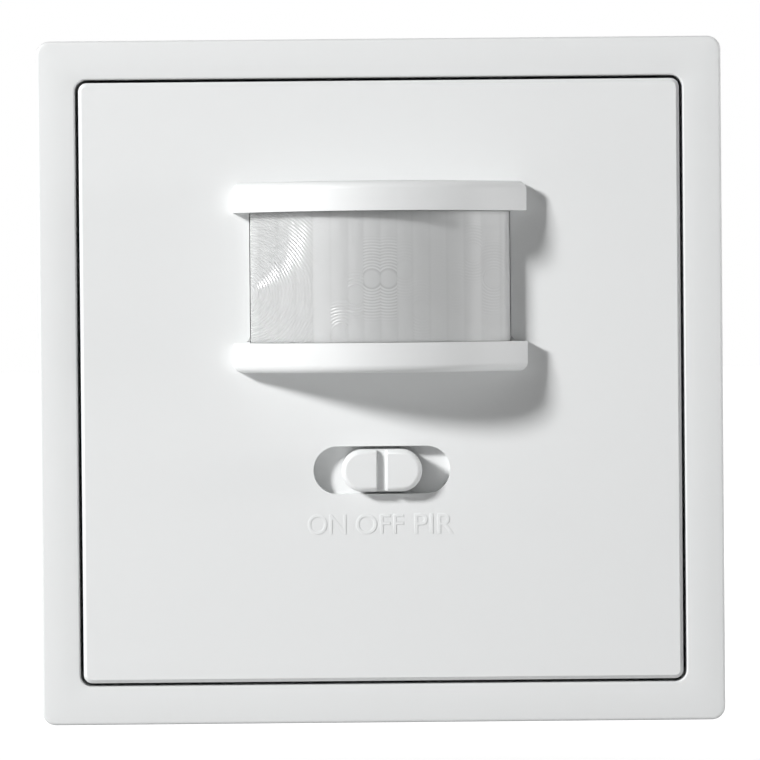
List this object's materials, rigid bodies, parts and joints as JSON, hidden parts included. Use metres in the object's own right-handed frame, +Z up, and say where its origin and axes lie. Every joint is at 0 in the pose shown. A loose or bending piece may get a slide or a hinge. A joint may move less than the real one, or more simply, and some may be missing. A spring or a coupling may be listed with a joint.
{
  "type": "motion sensor light switch",
  "caption": "Square flush wall switch with a curved infrared sensor head above a slide knob for on, off and automatic, on a steel support ring with claws.",
  "frame": {"origin": "middle of the box screw pattern, on the back face of the support ring, which is the wall face", "axes": "+X right and +Z up as seen from the room, +Y into the wall; the cover faces -Y"},
  "size_m": [0.08, 0.048, 0.08],
  "materials": {
    "white_plastic": "smooth, satin gloss",
    "lens_plastic": "milky, ribbed inside",
    "holder_plastic": "fine spark texture",
    "zinc_steel": "zinc plated",
    "screw_steel": "zinc plated",
    "module_plastic": "fine spark texture",
    "block_plastic": "fine spark texture",
    "contact_metal": "bare",
    "lead_metal": "tinned",
    "sensor_metal": "nickel plated",
    "sensor_window": "polished",
    "eye_resin": "clear",
    "board_laminate": "solder mask over glass fibre",
    "black_moulding": "matt",
    "trimmer_plastic": "matt",
    "dial_plastic": "matt",
    "film_case": "smooth",
    "can_sleeve": "sleeved can",
    "disc_coat": "dipped",
    "resistor_coat": "lacquered"
  },
  "bodies": {
    "switch": {"board_socket": "black_moulding", "bridge_legs": "lead_metal", "bridge_rectifier": "black_moulding", "centre_plate": "white_plastic", "chip_legs": "lead_metal", "claw_pin_left": "screw_steel", "claw_pin_right": "screw_steel", "control_chip": "black_moulding", "cover_frame": "white_plastic", "front_carrier": "module_plastic", "fuse_leads": "lead_metal", "fuse_resistor": "resistor_coat", "header_base": "black_moulding", "header_pins": "lead_metal", "lens_holder": "holder_plastic", "light_sensor": "eye_resin", "light_sensor_leads": "lead_metal", "lux_trimmer_body": "trimmer_plastic", "mains_capacitor": "film_case", "pir_lens": "lens_plastic", "power_board": "board_laminate", "power_board_leads": "lead_metal", "rear_housing": "module_plastic", "relay": "black_moulding", "relay_pins": "lead_metal", "sensor_base": "sensor_metal", "sensor_board": "board_laminate", "sensor_can": "sensor_metal", "sensor_capacitors": "film_case", "sensor_pane": "sensor_window", "sensor_pins": "lead_metal", "smoothing_capacitor": "can_sleeve", "socket_pins": "lead_metal", "support_ring": "zinc_steel", "surge_absorber": "disc_coat", "switch_base": "black_moulding", "switch_pins": "lead_metal", "switch_shell": "sensor_metal", "terminal_block": "block_plastic", "terminal_contacts": "contact_metal", "terminal_springs": "contact_metal", "time_trimmer_body": "trimmer_plastic", "trimmer_pins": "lead_metal"},
    "mode_slider": {"slider_knob": "white_plastic", "switch_lever": "black_moulding", "switch_contact": "contact_metal"},
    "time_dial": {"time_adjuster": "dial_plastic"},
    "lux_dial": {"lux_adjuster": "dial_plastic"},
    "claw_screw_left": {"claw_screw_left": "screw_steel"},
    "claw_screw_right": {"claw_screw_right": "screw_steel"},
    "claw_nut_left": {"claw_nut_left": "screw_steel"},
    "claw_nut_right": {"claw_nut_right": "screw_steel"},
    "claw_left": {"claw_left": "zinc_steel"},
    "claw_right": {"claw_right": "zinc_steel"}
  },
  "joints": [
    {"name": "mode_slide", "type": "slide", "parent": "switch", "child": "mode_slider", "axis": [1, 0, 0], "range_m": [-0.003, 0.003]},
    {"name": "time_turn", "type": "hinge", "parent": "switch", "child": "time_dial", "pos_m": [-0.0086, 0, -0.0164], "axis": [0, 1, 0], "range_deg": [-135, 135]},
    {"name": "lux_turn", "type": "hinge", "parent": "switch", "child": "lux_dial", "pos_m": [0.0086, 0, -0.0164], "axis": [0, 1, 0], "range_deg": [-135, 135]},
    {"name": "claw_screw_left_turn", "type": "hinge", "parent": "switch", "child": "claw_screw_left", "pos_m": [-0.0237, 0, 0.0065], "axis": [0, 1, 0], "range_deg": [0, 1677.1]},
    {"name": "claw_nut_left_slide", "type": "slide", "parent": "switch", "child": "claw_nut_left", "axis": [0, -1, 0], "range_m": [0, 0.00233]},
    {"name": "claw_left_swing", "type": "hinge", "parent": "switch", "child": "claw_left", "pos_m": [-0.0192, 0.0036, 0.0065], "axis": [0, 0, 1], "range_deg": [0, 30]},
    {"name": "claw_screw_right_turn", "type": "hinge", "parent": "switch", "child": "claw_screw_right", "pos_m": [0.0237, 0, -0.0065], "axis": [0, 1, 0], "range_deg": [0, 1677.1]},
    {"name": "claw_nut_right_slide", "type": "slide", "parent": "switch", "child": "claw_nut_right", "axis": [0, -1, 0], "range_m": [0, 0.00233]},
    {"name": "claw_right_swing", "type": "hinge", "parent": "switch", "child": "claw_right", "pos_m": [0.0192, 0.0036, -0.0065], "axis": [0, 0, -1], "range_deg": [0, 30]}
  ],
  "couplings": [
    {"joint": "claw_nut_left_slide", "follows": "claw_left_swing", "m_per_rad": 0.0044488},
    {"joint": "claw_screw_left_turn", "follows": "claw_left_swing", "ratio": 55.903},
    {"joint": "claw_nut_right_slide", "follows": "claw_right_swing", "m_per_rad": 0.0044488},
    {"joint": "claw_screw_right_turn", "follows": "claw_right_swing", "ratio": 55.903}
  ]
}
